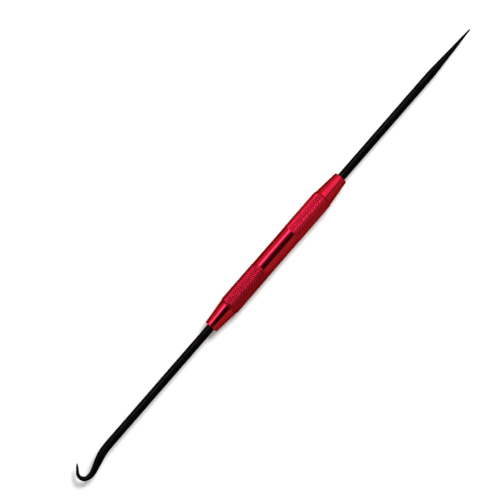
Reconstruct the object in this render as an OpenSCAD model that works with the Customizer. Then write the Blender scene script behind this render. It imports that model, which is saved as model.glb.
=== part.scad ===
// Double-ended scriber: a knurled handle with a straight point at one end and a hooked point at the other.
// The handle's axis is the X axis and its middle is the origin. The straight point is at +X, the hook
// opens towards +Y, and the plane of the hook's bends is level.

/* [Handle] */
// Length of the handle between its two nose faces
handle_length = 75; // [66:0.5:90]
// Diameter over the two knurled bands
knurl_diameter = 8; // [7.9:0.1:10]
// Length of each knurled band, with its chamfers
knurl_length = 18.2; // [12:0.2:24]
// Diameter of the smooth waist between the bands
waist_diameter = 7.8; // [7.4:0.05:7.95]
// Length of each tapered nose
nose_length = 10.2; // [6:0.2:16]
// Diameter of a nose where it meets its knurled band
nose_root_diameter = 7.35; // [6:0.05:7.7]
// Diameter of a nose at its face
nose_tip_diameter = 5.4; // [4.6:0.1:7]
// Length of the chamfer that runs each band down to its nose
band_chamfer = 0.7; // [0.1:0.1:2]
// Edge broken off around each nose face
nose_break = 0.15; // [0.05:0.05:0.4]

/* [Rods] */
// Diameter of both rods outside the handle
rod_diameter = 3.2; // [3:0.1:4]
// Diameter of each rod's turned-down shank, which is also the bore of its socket
shank_diameter = 2.8; // [2:0.1:2.8]
// How far each rod's shank is pressed into the handle
shank_length = 20; // [10:0.5:26]
// Chamfer at the inner end of each shank
shank_chamfer = 0.4; // [0.1:0.1:0.8]
// Length of the short ground point at the very end of each rod
point_length = 0.9; // [0.3:0.1:2]
// Diameter of the flat left at each point
point_diameter = 0.1; // [0.05:0.05:0.4]

/* [Straight point] */
// How far the straight rod stands out of its nose face
straight_reach = 76.6; // [50:0.2:110]
// Length of its taper, with the ground point
straight_taper = 23.6; // [10:0.2:40]
// Diameter where the taper meets the ground point
straight_end_diameter = 0.7; // [0.4:0.1:1.6]

/* [Hooked point] */
// Straight length of the hook rod outside its nose face
hook_straight = 58.3; // [30:0.1:90]
// Bend radius of the first bend, away from the hook's mouth
offset_radius = 20.3; // [8:0.1:40]
// Angle of the first bend
offset_angle = 16.2; // [5:0.1:35]
// Straight run after the first bend
offset_run = 5.2; // [1:0.1:12]
// Bend radius of the sweep back into the hook
return_radius = 5.6; // [4:0.1:12]
// Angle of the sweep back into the hook
return_angle = 37.1; // [10:0.1:60]
// Bend radius of the hook itself
hook_radius = 2.4; // [2.2:0.1:6]
// Angle of the hook itself
hook_angle = 114.2; // [60:0.1:130]
// Straight run from the hook's bend to its point
hook_run = 3.7; // [1.5:0.1:8]
// Diameter where the hook's taper meets its ground point
hook_end_diameter = 0.8; // [0.4:0.1:1.4]

/* [Hidden] */
$fn = 96;

anodised_red = [0.66, 0.09, 0.16];
black_oxide = [0.11, 0.11, 0.12];

face_x = handle_length / 2;
rod_r = rod_diameter / 2;
shank_r = shank_diameter / 2;
shank_end_x = face_x - shank_length;
shoulder_x = face_x - (rod_r - shank_r);
point_r = point_diameter / 2;
knurl_r = knurl_diameter / 2;
waist_r = waist_diameter / 2;
root_r = nose_root_diameter / 2;
nose_r = nose_tip_diameter / 2;
band_out_x = face_x - nose_length;
band_in_x = band_out_x - knurl_length;
band_step = knurl_r - waist_r;

socket_gap = 0.6;
drill_point_angle = 118;
drill_point_length = shank_r / tan(drill_point_angle / 2);
cut_margin = 1;

hook_sides = 24;
hook_stations = 48;
seat_depth = 0.4;
seat_share = 0.975;

// The legs of the hook rod beyond its stem, each as [length, turn towards the mouth in degrees]
hook_legs = [
    [arc_length(offset_radius, offset_angle), -offset_angle],
    [offset_run, 0],
    [arc_length(return_radius, return_angle), return_angle],
    [arc_length(hook_radius, hook_angle), hook_angle],
    [hook_run, 0]
];
hook_length = legs_length(hook_legs);
taper_start = hook_legs[0][0];
ground_start = hook_length - point_length;

function arc_length(radius, angle) = radius * angle * PI / 180;

function legs_length(legs, i = 0) = i == len(legs) ? 0 : legs[i][0] + legs_length(legs, i + 1);

// Where a leg's path stands after a run of it, from [x, y, heading]
function along_leg(at, run, turn) =
    turn == 0
        ? [at[0] + run * cos(at[2]), at[1] + run * sin(at[2]), at[2]]
        : let (radius = run / (turn * PI / 180))
          [
              at[0] + radius * (sin(at[2] + turn) - sin(at[2])),
              at[1] - radius * (cos(at[2] + turn) - cos(at[2])),
              at[2] + turn
          ];

// Where the hook's path stands at a distance from the end of the stem, as [x, y, heading]
function along_hook(distance, at = [face_x + hook_straight, 0, 0], i = 0) =
    distance <= hook_legs[i][0] || i == len(hook_legs) - 1
        ? along_leg(at, distance, hook_legs[i][1] * distance / hook_legs[i][0])
        : along_hook(distance - hook_legs[i][0], along_leg(at, hook_legs[i][0], hook_legs[i][1]), i + 1);

// Radius of the hook's wire at a distance from the end of the stem
function wire_r(distance) =
    distance < taper_start
        ? rod_r
        : distance < ground_start
            ? scaled(distance, taper_start, ground_start, rod_r, hook_end_diameter / 2)
            : scaled(distance, ground_start, hook_length, hook_end_diameter / 2, point_r);

// The value on the straight line from low at a to high at b
function scaled(x, a, b, low, high) = low + (high - low) * (x - a) / (b - a);

// One ring of points round the path at [x, y, heading]
function ring(at, radius) = [
    for (side = [0:hook_sides - 1])
        let (turn = 360 * side / hook_sides, across = radius * cos(turn))
        [at[0] - across * sin(at[2]), at[1] + across * cos(at[2]), radius * sin(turn)]
];

// Triangles between two rings that start at points a and b
function band_faces(a, b) = [
    for (side = [0:hook_sides - 1], half = [0:1])
        let (next = (side + 1) % hook_sides)
        half == 0 ? [a + side, b + side, b + next] : [a + side, b + next, a + next]
];

// Turns an outline of [distance along the axis, radius] into a solid lying along +X
module turned(outline) {
    rotate([0, 90, 0])
        rotate_extrude()
            polygon([for (p = outline) [p[1], p[0]]]);
}

// A blind drilled socket on the +X side, countersunk at its mouth for the rod's conical shoulder
module socket() {
    bottom = shank_end_x - socket_gap;
    turned([
        [bottom - drill_point_length, 0],
        [bottom, shank_r],
        [shoulder_x, shank_r],
        [face_x, rod_r],
        [face_x + cut_margin, rod_r],
        [face_x + cut_margin, 0]
    ]);
}

// The handle's outside from its middle to one nose face
module half_handle() {
    turned([
        [0, 0],
        [0, waist_r],
        [band_in_x, waist_r],
        [band_in_x + band_step, knurl_r],
        [band_out_x - band_chamfer, knurl_r],
        [band_out_x, root_r],
        [face_x - nose_break, nose_r],
        [face_x, nose_r - nose_break],
        [face_x, 0]
    ]);
}

// One-piece turned handle with two knurled bands and a socket in each nose
module knurled_handle() {
    color(anodised_red)
        for (side = [0, 1])
            mirror([side, 0, 0])
                difference() {
                    half_handle();
                    socket();
                }
}

// Outline of a shank and the conical shoulder that brings it to the full rod at the nose face
shank_outline = [
    [shank_end_x, 0],
    [shank_end_x, shank_r - shank_chamfer],
    [shank_end_x + shank_chamfer, shank_r],
    [shoulder_x, shank_r],
    [face_x, rod_r]
];

// Straight rod: shank, round stem, long taper and ground point
module straight_point() {
    tip_x = face_x + straight_reach;
    color(black_oxide)
        turned(concat(shank_outline, [
            [tip_x - straight_taper, rod_r],
            [tip_x - point_length, straight_end_diameter / 2],
            [tip_x, point_r],
            [tip_x, 0]
        ]));
}

// Shank and straight stem of the hook rod, lying along +X
module hook_stem() {
    turned(concat(shank_outline, [
        [face_x + hook_straight, rod_r],
        [face_x + hook_straight, 0]
    ]));
}

// Bent, tapering end of the hook rod, swept along its legs. It is a little slimmer than the stem it starts in.
module swept_hook() {
    stations = [for (i = [0:hook_stations]) ground_start * i / hook_stations];
    rings = [
        for (s = concat([-seat_depth], stations, [hook_length]))
            ring(s < 0 ? [face_x + hook_straight + s, 0, 0] : along_hook(s), seat_share * wire_r(s))
    ];
    last = (len(rings) - 1) * hook_sides;
    polyhedron(
        points = [for (r = rings, p = r) p],
        faces = concat(
            [[for (side = [0:hook_sides - 1]) side]],
            [for (i = [0:len(rings) - 2], f = band_faces(i * hook_sides, (i + 1) * hook_sides)) f],
            [[for (side = [hook_sides - 1:-1:0]) last + side]]
        )
    );
}

// Hook rod: shank, stem and hook, on the handle's -X side
module hook_point() {
    color(black_oxide)
        mirror([1, 0, 0])
            union() {
                hook_stem();
                swept_hook();
            }
}

knurled_handle();
straight_point();
hook_point();
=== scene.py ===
"""Looks of the double-ended scriber: a diamond-knurled anodised handle and two blackened steel rods.

Everything is in metres in the CAD frame: the handle lies along X, its middle is the origin, +X is the
straight point's end and +Y is the side that the hook's mouth opens on.
"""
import math

import bpy
from mathutils import Matrix, Vector


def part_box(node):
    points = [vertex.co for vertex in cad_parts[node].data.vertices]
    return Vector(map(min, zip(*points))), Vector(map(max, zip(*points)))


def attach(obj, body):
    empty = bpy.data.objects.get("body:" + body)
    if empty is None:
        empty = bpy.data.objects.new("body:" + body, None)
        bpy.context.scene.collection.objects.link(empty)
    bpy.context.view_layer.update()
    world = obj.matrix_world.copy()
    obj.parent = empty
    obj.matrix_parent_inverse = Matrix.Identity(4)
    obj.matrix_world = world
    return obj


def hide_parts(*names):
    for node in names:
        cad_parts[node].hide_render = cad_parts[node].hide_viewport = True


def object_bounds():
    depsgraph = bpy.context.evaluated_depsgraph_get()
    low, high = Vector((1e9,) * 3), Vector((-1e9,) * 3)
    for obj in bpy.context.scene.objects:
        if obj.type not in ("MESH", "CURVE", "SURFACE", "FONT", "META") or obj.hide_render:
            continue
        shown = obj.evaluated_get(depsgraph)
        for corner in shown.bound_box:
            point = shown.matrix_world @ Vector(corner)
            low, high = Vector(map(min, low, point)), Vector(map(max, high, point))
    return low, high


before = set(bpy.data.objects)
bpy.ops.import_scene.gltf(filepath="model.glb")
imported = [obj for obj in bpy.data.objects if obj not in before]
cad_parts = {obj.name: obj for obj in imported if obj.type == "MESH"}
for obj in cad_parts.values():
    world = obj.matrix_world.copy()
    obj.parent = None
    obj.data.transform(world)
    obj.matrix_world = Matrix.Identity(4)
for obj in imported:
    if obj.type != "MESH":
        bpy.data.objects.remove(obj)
CAD_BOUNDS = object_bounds()
BODY = "root"
MM = 0.001

# ---- Sizes taken from the frame ----
HANDLE_LOW, HANDLE_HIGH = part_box("knurled_handle")
STRAIGHT_LOW, STRAIGHT_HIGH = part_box("straight_point")
FACE_X = HANDLE_HIGH.x
KNURL_R = HANDLE_HIGH.z
ROD_R = STRAIGHT_HIGH.z
SHANK_END_X = STRAIGHT_LOW.x
STRAIGHT_TIP_X = STRAIGHT_HIGH.x
FLOOR_Z = CAD_BOUNDS[0][2]

# ---- Handle ----
KNURL_LENGTH = 18.2 * MM
WAIST_R = 3.9 * MM
NOSE_LENGTH = 10.2 * MM
NOSE_ROOT_R = 3.675 * MM
NOSE_TIP_R = 2.7 * MM
NOSE_BREAK = 0.15 * MM
BAND_CHAMFER = 0.7 * MM
SHANK_R = 1.4 * MM
SOCKET_GAP = 0.6 * MM
DRILL_POINT_ANGLE = math.radians(118)
BAND_OUT_X = FACE_X - NOSE_LENGTH
BAND_IN_X = BAND_OUT_X - KNURL_LENGTH
SHOULDER_X = FACE_X - (ROD_R - SHANK_R)

# ---- Knurl: crossed helical grooves, each pitch split into a whole number of mesh cells ----
KNURL_STARTS = 28
KNURL_ANGLE = math.radians(30)
KNURL_DEPTH = 0.115 * MM
# How strongly painted shade darkens the grooves of the band next to the straight point and next to the hook
POINT_SIDE_GROOVE_SHADE = 0.12
HOOK_SIDE_GROOVE_SHADE = 0.75
CELLS_PER_PITCH = 8
# Rows over which the grooves deepen from the waist
RUN_OUT_CELLS = 3
HANDLE_COLUMNS = KNURL_STARTS * CELLS_PER_PITCH
PITCH_ROUND = 2 * math.pi * KNURL_R / KNURL_STARTS
PITCH_ALONG = PITCH_ROUND / math.tan(KNURL_ANGLE)
BAND_CELLS = round(KNURL_LENGTH / PITCH_ALONG * CELLS_PER_PITCH)

# ---- Rods ----
ROD_COLUMNS = 64
SHANK_CHAMFER = 0.4 * MM
POINT_LENGTH = 0.9 * MM
POINT_R = 0.05 * MM
# How far back the start of a taper and the start of a ground point are rounded
TAPER_ROUND = 2 * MM
POINT_ROUND = 0.4 * MM
STRAIGHT_TAPER = 23.6 * MM
STRAIGHT_END_R = 0.35 * MM
HOOK_STRAIGHT = 58.3 * MM
HOOK_END_R = 0.4 * MM
# Bends of the hook as (radius, angle in degrees), negative away from its mouth, and plain runs as (length, 0)
HOOK_LEGS = [(20.3 * MM, -16.2), (5.2 * MM, 0), (5.6 * MM, 37.1), (2.4 * MM, 114.2), (3.7 * MM, 0)]
STEM_END_X = FACE_X + HOOK_STRAIGHT
# How far the bare steel of a ground point reaches back
TIP_FADE = 5 * POINT_LENGTH

# ---- Mesh ----
LONGEST_SPAN = 1.0 * MM
HOOK_STEP = 0.25 * MM
ROUND_STEPS = 5
SHARP_ANGLE = math.radians(30)
# A quad is left whole, or split from its corner a to c or from b to d
WHOLE, SPLIT_AC, SPLIT_BD = 0, 1, 2
OTHER_SPLIT = {SPLIT_AC: SPLIT_BD, SPLIT_BD: SPLIT_AC}


# ---------------------------------------------------------------- mesh helpers
def rounded(corners):
    """Outline points from corners (x, r, size): each corner with a size is rounded that far back."""
    points = []
    for i, (x, r, size) in enumerate(corners):
        here = Vector((x, r))
        if size == 0:
            points.append(here)
            continue
        start = here + (Vector(corners[i - 1][:2]) - here).normalized() * size
        end = here + (Vector(corners[i + 1][:2]) - here).normalized() * size
        for step in range(ROUND_STEPS + 1):
            t = step / ROUND_STEPS
            points.append(start.lerp(here, t).lerp(here.lerp(end, t), t))
    return points


def spaced(points, longest=LONGEST_SPAN):
    """The same outline with points added so that no span is longer than longest."""
    result = [points[0]]
    for a, b in zip(points, points[1:]):
        count = max(1, math.ceil((b - a).length / longest))
        result += [a.lerp(b, (k + 1) / count) for k in range(count)]
    return result


def even_radii(radius, columns):
    """The radii of a round ring, or the single one of a point on the axis."""
    return [radius] * columns if radius else [0]


def ring(x, radii):
    """Points round the X axis, one for each radius."""
    turns = [2 * math.pi * j / len(radii) for j in range(len(radii))]
    return [Vector((x, r * math.cos(a), r * math.sin(a))) for r, a in zip(radii, turns)]


def skin_faces(rings, split_of=None):
    """Faces between neighbouring rings. split_of(k, j) is the split of the quad above ring k at column j."""
    starts = [0]
    for points in rings:
        starts.append(starts[-1] + len(points))
    faces = []
    for k in range(len(rings) - 1):
        low, high = starts[k], starts[k + 1]
        columns = max(len(rings[k]), len(rings[k + 1]))
        for j in range(columns):
            after = (j + 1) % columns
            a, b, c, d = low + j, low + after, high + after, high + j
            if len(rings[k]) == 1:
                faces.append((low, c, d))
            elif len(rings[k + 1]) == 1:
                faces.append((a, b, high))
            else:
                faces += quad_faces(a, b, c, d, split_of(k, j) if split_of else WHOLE)
    return faces


def quad_faces(a, b, c, d, split):
    if split == WHOLE:
        return [(a, b, c, d)]
    if split == SPLIT_AC:
        return [(a, b, c), (a, c, d)]
    return [(a, b, d), (b, c, d)]


def make_piece(name, rings, faces, unbent, masks, material, node):
    """A mesh object from rings of points, with its attributes, material and place in the frame."""
    mesh = bpy.data.meshes.new(name)
    mesh.from_pydata([p for points in rings for p in points], [], faces)
    place = mesh.attributes.new("unbent", "FLOAT_VECTOR", "POINT")
    place.data.foreach_set("vector", [c for points in unbent for p in points for c in p])
    for mask, values in masks.items():
        layer = mesh.attributes.new(mask, "FLOAT", "POINT")
        layer.data.foreach_set("value", values)
    mesh.polygons.foreach_set("use_smooth", [True] * len(mesh.polygons))
    mesh.set_sharp_from_angle(angle=SHARP_ANGLE)
    mesh.materials.append(material)
    piece = bpy.data.objects.new(name, mesh)
    bpy.context.scene.collection.objects.link(piece)
    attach(piece, BODY)
    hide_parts(node)
    return piece


# ---------------------------------------------------------------- handle
def from_groove(cells):
    """How many cells a place is from the nearest groove of one hand."""
    inside = cells % CELLS_PER_PITCH
    return min(inside, CELLS_PER_PITCH - inside)


def knurl_height(row, column):
    """Height of the diamond pattern, 0 at the bottom of a groove and 1 on top of a rounded diamond."""
    nearest = min(from_groove(column + row), from_groove(column - row))
    return math.sin(math.pi * nearest / CELLS_PER_PITCH)


def knurl_split(row, column):
    """The way to split the cell above a row so that its diagonal follows the grooves."""
    return SPLIT_BD if from_groove(column + row + 1) < from_groove(column - row) else SPLIT_AC


def band_rows():
    """Rows of one knurled band from the waist to the nose, as (x, radii, heights)."""
    rows = []
    for row in range(BAND_CELLS + 1):
        x = BAND_IN_X + KNURL_LENGTH * row / BAND_CELLS
        to_nose = (BAND_OUT_X - x) / BAND_CHAMFER
        top = WAIST_R if row == 0 else KNURL_R
        chamfer = NOSE_ROOT_R + (KNURL_R - NOSE_ROOT_R) * min(1, to_nose)
        depth = KNURL_DEPTH * min(1, row / RUN_OUT_CELLS)
        heights = [knurl_height(row, column) for column in range(HANDLE_COLUMNS)]
        rows.append((x, [min(top - depth * (1 - h), chamfer) for h in heights], heights))
    return rows


def plain_rows(outline):
    """Rows of a plain round part of the handle, as (x, radii, None)."""
    return [(p.x, even_radii(p.y, HANDLE_COLUMNS), None) for p in outline]


def half_rows():
    """Rows from the handle's middle, over the nose and in to the bottom of the socket on the +X side."""
    waist = spaced([Vector((0, WAIST_R)), Vector((BAND_IN_X, WAIST_R))])[:-1]
    socket_end = SHANK_END_X - SOCKET_GAP
    drill_point = SHANK_R / math.tan(DRILL_POINT_ANGLE / 2)
    nose = spaced(rounded([
        (BAND_OUT_X, NOSE_ROOT_R, 0),
        (FACE_X - NOSE_BREAK, NOSE_TIP_R, NOSE_BREAK / 2),
        (FACE_X, NOSE_TIP_R - NOSE_BREAK, NOSE_BREAK / 2),
        (FACE_X, ROD_R, 0),
        (SHOULDER_X, SHANK_R, 0),
        (socket_end, SHANK_R, 0),
        (socket_end - drill_point, 0, 0),
    ]))[1:]
    return plain_rows(waist) + band_rows() + plain_rows(nose)


def make_handle(material):
    half = half_rows()
    rows = [(-x, radii, heights) for x, radii, heights in reversed(half[1:])] + half
    rings = [ring(x, radii) for x, radii, heights in rows]
    middle = len(half) - 1
    band_start = next(i for i, row in enumerate(half) if row[2])

    def split_of(k, j):
        """Follows the grooves in the bands. The -X half mirrors the +X half."""
        outward = k - middle if k >= middle else middle - 1 - k
        row = outward - band_start
        if not 0 <= row < BAND_CELLS:
            return WHOLE
        split = knurl_split(row, j)
        return split if k >= middle else OTHER_SPLIT[split]

    masks = {"crest": [], "band": [], "groove_shade": []}
    for x, radii, heights in rows:
        # How much painted shade goes into the grooves of this band
        groove_shade = POINT_SIDE_GROOVE_SHADE if x > 0 else HOOK_SIDE_GROOVE_SHADE
        masks["crest"] += heights or [0] * len(radii)
        masks["band"] += [1 if heights else 0] * len(radii)
        masks["groove_shade"] += [groove_shade if heights else 0] * len(radii)
    faces = skin_faces(rings, split_of)
    return make_piece(
        "handle_knurled", rings, faces, rings, masks, material, "knurled_handle"
    )


# ---------------------------------------------------------------- rods
def shank_corners():
    return [
        (SHANK_END_X, 0, 0),
        (SHANK_END_X, SHANK_R - SHANK_CHAMFER, 0),
        (SHANK_END_X + SHANK_CHAMFER, SHANK_R, 0),
        (SHOULDER_X, SHANK_R, 0),
        (FACE_X, ROD_R, 0),
    ]


def taper_corners(taper_x, end_r, tip_x):
    """Corners from the start of a rod's taper to the middle of its tip."""
    return [
        (taper_x, ROD_R, TAPER_ROUND),
        (tip_x - POINT_LENGTH, end_r, POINT_ROUND),
        (tip_x, POINT_R, 0),
        (tip_x, 0, 0),
    ]


def rod_rings(outline):
    return [ring(p.x, even_radii(p.y, ROD_COLUMNS)) for p in outline]


def tip_mask(rings, tip_x):
    """1 at the very tip of a rod, fading to 0 over the bare length."""
    return [max(0, 1 - (tip_x - abs(p.x)) / TIP_FADE) for points in rings for p in points]


def leg_length(radius, degrees):
    return radius if degrees == 0 else radius * math.radians(abs(degrees))


def along_leg(at, heading, radius, degrees, length):
    """The place and heading after a length of one leg of the hook."""
    if degrees == 0:
        return at + Vector((math.cos(heading), math.sin(heading))) * length, heading
    turned = heading + math.copysign(length / radius, degrees)
    side = math.copysign(radius, degrees)
    across = Vector((math.sin(turned) - math.sin(heading), math.cos(heading) - math.cos(turned)))
    return at + across * side, turned


def bent(point):
    """Moves a point of the straight hook rod, beyond its stem, to its place on the bent one."""
    run = point.x - STEM_END_X
    if run <= 0:
        return point
    at, heading = Vector((STEM_END_X, 0)), 0.0
    for i, (radius, degrees) in enumerate(HOOK_LEGS):
        length = leg_length(radius, degrees)
        if run <= length or i == len(HOOK_LEGS) - 1:
            at, heading = along_leg(at, heading, radius, degrees, run)
            break
        at, heading = along_leg(at, heading, radius, degrees, length)
        run -= length
    return Vector((at.x - point.y * math.sin(heading), at.y + point.y * math.cos(heading), point.z))


def mirrored(point):
    return Vector((-point.x, point.y, point.z))


def make_straight_rod(material):
    taper_x = STRAIGHT_TIP_X - STRAIGHT_TAPER
    corners = shank_corners() + taper_corners(taper_x, STRAIGHT_END_R, STRAIGHT_TIP_X)
    rings = rod_rings(spaced(rounded(corners)))
    masks = {"tip": tip_mask(rings, STRAIGHT_TIP_X)}
    return make_piece(
        "rod_straight", rings, skin_faces(rings), rings, masks, material, "straight_point"
    )


def make_hook_rod(material):
    taper_x = STEM_END_X + leg_length(*HOOK_LEGS[0])
    tip_x = STEM_END_X + sum(leg_length(*leg) for leg in HOOK_LEGS)
    stem_end = [(STEM_END_X, ROD_R, 0)]
    outline = spaced(rounded(shank_corners() + stem_end))
    outline += spaced(rounded(stem_end + taper_corners(taper_x, HOOK_END_R, tip_x)), HOOK_STEP)[1:]
    straight = rod_rings(outline)
    rings = [[mirrored(bent(p)) for p in points] for points in straight]
    faces = [tuple(reversed(face)) for face in skin_faces(rings)]
    masks = {"tip": tip_mask(straight, tip_x)}
    return make_piece(
        "rod_hook", rings, faces, straight, masks, material, "hook_point"
    )


# ---------------------------------------------------------------- node helpers
MIX_SHARE, MIX_A, MIX_B = 0, 6, 7
MIX_RESULT = 2


def feed(tree, socket, value):
    """Links a node's output to a socket, or sets the socket to a plain value."""
    if isinstance(value, bpy.types.NodeSocket):
        tree.links.new(value, socket)
    else:
        socket.default_value = value


def mixed_colour(tree, share, a, b):
    """The colour a where share is 0 and the colour b where it is 1."""
    mix = tree.nodes.new("ShaderNodeMix")
    mix.data_type = "RGBA"
    feed(tree, mix.inputs[MIX_SHARE], share)
    feed(tree, mix.inputs[MIX_A], a)
    feed(tree, mix.inputs[MIX_B], b)
    return mix.outputs[MIX_RESULT]


def math_node(tree, operation, a, b=0.0):
    node = tree.nodes.new("ShaderNodeMath")
    node.operation = operation
    feed(tree, node.inputs[0], a)
    feed(tree, node.inputs[1], b)
    return node.outputs[0]


class Shader:
    """A material being built on a Principled BSDF. Its methods add nodes and return their outputs."""

    def __init__(self, name):
        self.material = bpy.data.materials.new(name)
        self.material.use_nodes = True
        self.tree = self.material.node_tree
        self.surface = self.tree.nodes["Principled BSDF"]

    def node(self, kind, settings=None, inputs=None):
        node = self.tree.nodes.new("ShaderNode" + kind)
        for name, value in (settings or {}).items():
            setattr(node, name, value)
        for name, value in (inputs or {}).items():
            feed(self.tree, node.inputs[name], value)
        return node

    def set(self, name, value):
        feed(self.tree, self.surface.inputs[name], value)

    def attribute(self, name, output="Fac"):
        return self.node("Attribute", {"attribute_name": name}).outputs[output]

    def noise(self, scale, detail=3):
        """Noise in the unbent coordinates, with scale as cycles per metre along and across the tool."""
        place = self.node("Mapping", {"vector_type": "POINT"}, {
            "Vector": self.attribute("unbent", "Vector"),
            "Scale": scale,
        })
        return self.node("TexNoise", {}, {
            "Vector": place.outputs["Vector"],
            "Scale": 1.0,
            "Detail": detail,
            "Roughness": 0.5,
        }).outputs["Fac"]

    def ranged(self, value, low, high, to_low=0.0, to_high=1.0):
        """The value moved, and held, from the range low to high to the range to_low to to_high."""
        return self.node("MapRange", {}, {
            "Value": value,
            "From Min": low,
            "From Max": high,
            "To Min": to_low,
            "To Max": to_high,
        }).outputs["Result"]

    def times(self, a, b):
        return math_node(self.tree, "MULTIPLY", a, b)

    def plus(self, a, b):
        return math_node(self.tree, "ADD", a, b)

    def mixed(self, share, a, b):
        return mixed_colour(self.tree, share, a, b)

    def bumped(self, height, depth, below=None):
        """A surface normal from a height, on top of the normal below where one is given."""
        inputs = {"Height": height, "Strength": 1.0, "Distance": depth}
        if below:
            inputs["Normal"] = below
        return self.node("Bump", {}, inputs).outputs["Normal"]


# ---------------------------------------------------------------- anodised handle
RED_DEEP = (0.245, 0.0074, 0.0098, 1)
RED_PALE = (0.285, 0.0086, 0.0113, 1)
# Painted shade: the dark red laid into the knurl grooves
RED_GROOVE_SHADE = (0.07, 0.002, 0.003, 1)
RED_RUBBED = (0.42, 0.03, 0.05, 1)
RED_EDGE_TINT = (0.08, 0.008, 0.012, 1)
LATHE_DEPTH = 0.0012 * MM
PITTING_DEPTH = 0.004 * MM


def anodised_red():
    """Dyed metal: mottled, turned in fine rings, painted shade in the grooves, rubbed on the crests."""
    red = Shader("anodised_red")
    crest = red.attribute("crest")
    band = red.attribute("band")
    cloud = red.ranged(red.noise((400, 400, 400), 4), 0.35, 0.65)
    speck = red.ranged(red.noise((6000, 6000, 6000), 2), 0.5, 0.72)
    groove = red.ranged(crest, 0.0, 0.9, 1.0, 0.0)
    rub = red.times(red.ranged(crest, 0.75, 1.0), speck)

    colour = red.mixed(cloud, RED_DEEP, RED_PALE)
    # Painted shade darkens the knurl grooves, more on the band next to the hook
    colour = red.mixed(red.times(groove, red.attribute("groove_shade")), colour, RED_GROOVE_SHADE)
    colour = red.mixed(red.times(rub, red.ranged(cloud, 0, 1, 0.15, 0.5)), colour, RED_RUBBED)
    red.set("Base Color", colour)
    red.set("Metallic", 1.0)
    red.set("Specular Tint", RED_EDGE_TINT)

    smooth_gloss = red.ranged(red.noise((9000, 300, 300), 2), 0.3, 0.7, 0.13, 0.2)
    band_gloss = red.times(band, red.ranged(speck, 0, 1, 0.04, 0.13))
    red.set("Roughness", red.plus(smooth_gloss, band_gloss))
    lathe = red.bumped(red.noise((14000, 250, 250), 3), LATHE_DEPTH)
    red.set("Normal", red.bumped(red.times(speck, band), PITTING_DEPTH, lathe))
    return red.material


# ---------------------------------------------------------------- blackened rods
BLACK_DEEP = (0.0020, 0.0017, 0.0015, 1)
BLACK_PALE = (0.0040, 0.0035, 0.0031, 1)
BLACK_RUBBED = (0.05, 0.047, 0.046, 1)
BARE_STEEL = (0.09, 0.085, 0.083, 1)
BLACK_EDGE_TINT = (0.25, 0.24, 0.25, 1)
RUBBED_SHARE = 0.12
GRAIN_DEPTH = 0.0015 * MM
OXIDE_DEPTH = 0.002 * MM


def black_oxide():
    """Dark oxide over drawn steel: mottled, rubbed in patches and worn to bare steel at the points."""
    black = Shader("black_oxide")
    cloud = black.ranged(black.noise((300, 900, 900), 4), 0.35, 0.65)
    drawn = black.noise((120, 9000, 9000), 2)
    rubbed = black.ranged(black.noise((900, 5000, 5000), 3), 0.56, 0.7)
    near_tip = black.ranged(black.attribute("tip"), 0.55, 1.0, 0.0, 0.8)
    bare = black.times(near_tip, black.ranged(drawn, 0.42, 0.6))

    colour = black.mixed(cloud, BLACK_DEEP, BLACK_PALE)
    colour = black.mixed(black.times(rubbed, RUBBED_SHARE), colour, BLACK_RUBBED)
    colour = black.mixed(bare, colour, BARE_STEEL)
    black.set("Base Color", colour)
    black.set("Metallic", 1.0)
    black.set("Specular Tint", BLACK_EDGE_TINT)

    black.set("Roughness", black.ranged(drawn, 0.3, 0.7, 0.36, 0.5))
    grain = black.bumped(drawn, GRAIN_DEPTH)
    black.set("Normal", black.bumped(black.noise((5000, 5000, 5000), 2), OXIDE_DEPTH, grain))
    return black.material


# ---------------------------------------------------------------- floor
FLOOR_SIZE = 6.0
FLOOR_COLOUR = (0.86, 0.86, 0.855, 1)


def white_card():
    card = Shader("white_card")
    card.set("Base Color", FLOOR_COLOUR)
    card.set("Roughness", 0.9)
    card.set("Specular IOR Level", 0.2)
    return card.material


def make_floor():
    half = FLOOR_SIZE / 2
    mesh = bpy.data.meshes.new("floor")
    corners = [(x, y, FLOOR_Z) for x, y in ((-half, -half), (half, -half), (half, half), (-half, half))]
    mesh.from_pydata(corners, [], [(0, 1, 2, 3)])
    mesh.materials.append(white_card())
    floor = bpy.data.objects.new("floor", mesh)
    bpy.context.scene.collection.objects.link(floor)
    return floor


# ---------------------------------------------------------------- lights
WHITE = (1, 1, 1)
# Each soft box: name, degrees from overhead towards +Y and towards +X, distance, size, radiance, colour,
# and the part of the scene that it lights
SOFT_BOXES = [
    ("key", 8, 38, 1.5, (0.55, 0.55), 25.5, WHITE, "floor"),
    ("soft_box", 20, 28, 1.2, (0.5, 1.3), 2.7, (0.95, 0.45, 2.0), "handle"),
    ("strip", 46, -8, 1.2, (0.75, 0.27), 17.0, (0.95, 0.58, 2.2), "handle"),
    ("rod_box", 38, 8, 1.2, (1.1, 0.8), 6.5, (1, 0.93, 1), "rods"),
    ("left_side", 72, 0, 1.2, (1.6, 0.9), 0.8, WHITE, "handle"),
    ("right_side", -55, 0, 1.2, (1.6, 1.2), 0.57, WHITE, "handle"),
]

DOME_COLOUR = (1.0, 0.975, 0.96, 1)
DOME_STRENGTH = 0.7
# How much the dome brightens towards +Y
DOME_SLOPE = 0.15
OPENING_COLOUR = (0.03, 0.03, 0.03, 1)
# The dark opening overhead, in directions: its middle and half widths along X and Y, and the share of it
# that is solid, with a soft edge round that
OPENING_MIDDLE = (-0.10, -0.05)
OPENING_HALF = (0.32, 0.42)
OPENING_SOLID = 0.8
# The power that makes the opening a rectangle with round corners
OPENING_POWER = 4.0


def facing(place, target, right):
    """The matrix of an object at a place that looks at a target, with its X axis near right."""
    back = (place - target).normalized()
    up = back.cross(right).normalized()
    side = up.cross(back)
    turn = Matrix((side, up, back)).transposed()
    return Matrix.Translation(place) @ turn.to_4x4()


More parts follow.
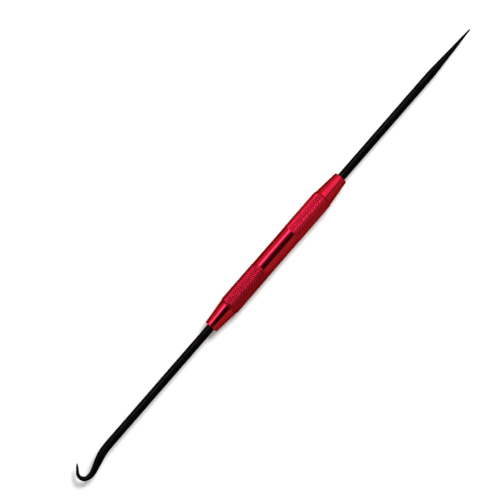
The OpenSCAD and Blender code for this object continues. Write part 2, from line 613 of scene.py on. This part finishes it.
def make_soft_box(name, across, along, distance, size, radiance, colour, pieces):
    """A rectangular area light that points at the origin and lights the given pieces alone."""
    slopes = math.tan(math.radians(along)), math.tan(math.radians(across))
    direction = Vector((*slopes, 1)).normalized()
    light = bpy.data.lights.new(name, "AREA")
    light.shape = "RECTANGLE"
    light.size, light.size_y = size
    light.energy = radiance * math.pi * size[0] * size[1]
    light.color = colour
    holder = bpy.data.objects.new(name, light)
    holder.matrix_world = facing(direction * distance, Vector((0, 0, 0)), Vector((1, 0, 0)))
    holder.visible_camera = False
    bpy.context.scene.collection.objects.link(holder)
    lit = bpy.data.collections.new(name + "_lights")
    for piece in pieces:
        lit.objects.link(piece)
    holder.light_linking.receiver_collection = lit


def inside_opening(tree, direction):
    """1 for directions in the dark opening overhead, 0 outside it, from the node that splits a direction."""
    powers = []
    for axis, middle, half in zip(("X", "Y"), OPENING_MIDDLE, OPENING_HALF):
        share = math_node(tree, "DIVIDE", math_node(tree, "SUBTRACT", direction.outputs[axis], middle), half)
        powers.append(math_node(tree, "POWER", math_node(tree, "ABSOLUTE", share), OPENING_POWER))
    radius = math_node(tree, "POWER", math_node(tree, "ADD", *powers), 1 / OPENING_POWER)
    edge = tree.nodes.new("ShaderNodeMapRange")
    edge.interpolation_type = "SMOOTHSTEP"
    edge.inputs["From Min"].default_value = 1.0
    edge.inputs["From Max"].default_value = OPENING_SOLID
    tree.links.new(radius, edge.inputs["Value"])
    overhead = math_node(tree, "GREATER_THAN", direction.outputs["Z"], 0.0)
    return math_node(tree, "MULTIPLY", edge.outputs["Result"], overhead)


def make_dome():
    """A bright tent all round, with one dark opening overhead."""
    world = bpy.data.worlds.new("tent")
    bpy.context.scene.world = world
    world.use_nodes = True
    tree = world.node_tree
    background = tree.nodes["Background"]
    place = tree.nodes.new("ShaderNodeTexCoord")
    direction = tree.nodes.new("ShaderNodeSeparateXYZ")
    tree.links.new(place.outputs["Generated"], direction.inputs[0])
    opening = inside_opening(tree, direction)
    feed(tree, background.inputs["Color"], mixed_colour(tree, opening, DOME_COLOUR, OPENING_COLOUR))
    slope = math_node(tree, "MULTIPLY", direction.outputs["Y"], DOME_SLOPE)
    feed(tree, background.inputs["Strength"], math_node(tree, "ADD", slope, DOME_STRENGTH))


# ---------------------------------------------------------------- camera
CAMERA_AT = Vector((-37.4, 0.3, 473.2)) * MM
CAMERA_LOOKS_AT = Vector((-5.93, 7.96, 0)) * MM
CAMERA_RIGHT = math.radians(-48.9)
CAMERA_LENS = 90.4
CAMERA_SENSOR = 36
CAMERA_NEAREST = 0.01


def make_camera():
    camera = bpy.data.cameras.new("camera")
    camera.lens = CAMERA_LENS
    camera.sensor_width = CAMERA_SENSOR
    camera.clip_start = CAMERA_NEAREST
    holder = bpy.data.objects.new("camera", camera)
    right = Vector((math.cos(CAMERA_RIGHT), math.sin(CAMERA_RIGHT), 0))
    holder.matrix_world = facing(CAMERA_AT, CAMERA_LOOKS_AT, right)
    bpy.context.scene.collection.objects.link(holder)
    bpy.context.scene.camera = holder


# ---------------------------------------------------------------- scene
rod_material = black_oxide()
handle = make_handle(anodised_red())
rods = [make_straight_rod(rod_material), make_hook_rod(rod_material)]
lit_pieces = {"floor": [make_floor()], "handle": [handle], "rods": rods}
make_dome()
for *soft_box, lit in SOFT_BOXES:
    make_soft_box(*soft_box, lit_pieces[lit])
make_camera()
bpy.context.scene.view_settings.view_transform = "Standard"
